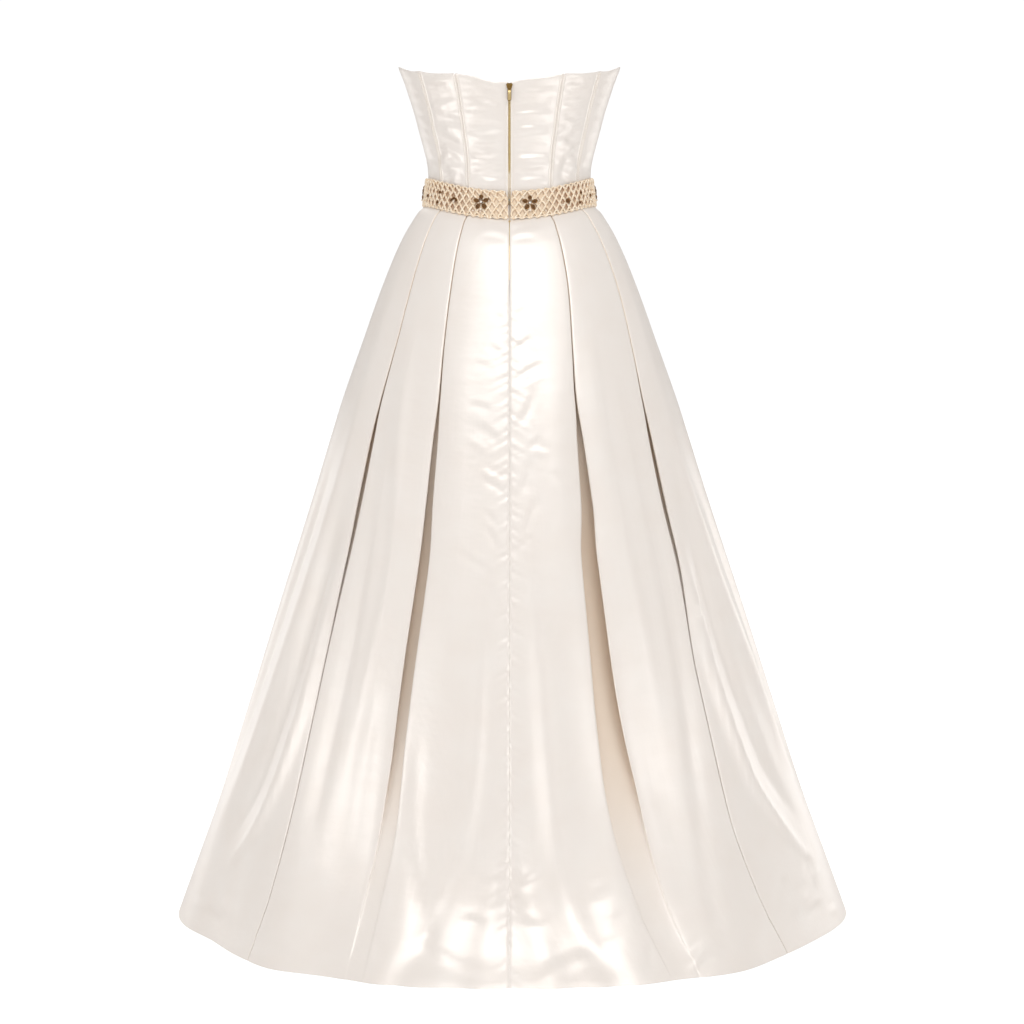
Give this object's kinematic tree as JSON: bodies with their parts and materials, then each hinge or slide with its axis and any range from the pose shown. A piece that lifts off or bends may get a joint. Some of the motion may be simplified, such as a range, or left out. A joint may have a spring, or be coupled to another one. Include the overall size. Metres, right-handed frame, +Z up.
{
  "type": "strapless ball gown",
  "caption": "Floor-length strapless ball gown with a boned bodice, a latticed jewelled belt, inverted box pleats and an exposed back zip.",
  "frame": {"origin": "the middle of the waist, where the wearer's waist carries the gown", "axes": "+Z up the body, the front faces -Y and the back +Y, the wearer's left is +X"},
  "size_m": [1.0057, 0.8694, 1.2619],
  "materials": {
    "satin": "ivory duchess satin with a soft lustre",
    "belt_cord": "champagne beaded cord worked as a lattice",
    "bronze_stone": "dark bronze cut stones in metal settings",
    "zip_tape": "woven polyester tape",
    "zip_brass": "pale gold brass",
    "hook_steel": "dull nickel-plated steel"
  },
  "bodies": {
    "gown": {"bodice_back_L": "satin", "bodice_back_R": "satin", "bodice_side_back_L": "satin", "bodice_side_back_R": "satin", "bodice_side_L": "satin", "bodice_side_R": "satin", "bodice_side_front_L": "satin", "bodice_side_front_R": "satin", "bodice_centre_front": "satin", "skirt_back_L": "satin", "skirt_back_R": "satin", "skirt_front": "satin", "belt": "belt_cord", "belt_hook": "hook_steel", "flower_back_L": "bronze_stone", "flower_back_R": "bronze_stone", "flower_side_L": "bronze_stone", "flower_side_R": "bronze_stone", "flower_front_L": "bronze_stone", "flower_front_R": "bronze_stone", "arch_motif": "bronze_stone", "round_stone_back": "bronze_stone", "round_stone_front": "bronze_stone", "round_stone_side_L": "bronze_stone", "round_stone_side_R": "bronze_stone", "small_stone_1": "bronze_stone", "small_stone_2": "bronze_stone", "small_stone_3": "bronze_stone", "small_stone_4": "bronze_stone", "small_stone_5": "bronze_stone", "small_stone_6": "bronze_stone", "small_stone_7": "bronze_stone", "small_stone_8": "bronze_stone", "zip_tape_L": "zip_tape", "zip_tape_R": "zip_tape", "zip_chain": "zip_brass", "zip_slider": "zip_brass"},
    "zip_pull": {"zip_pull": "zip_brass"}
  },
  "joints": [
    {"name": "zip_pull_hinge", "type": "hinge", "parent": "gown", "child": "zip_pull", "pos_m": [0, 0.1098, 0.1612], "axis": [1, 0, 0], "range_deg": [0, 170]}
  ]
}
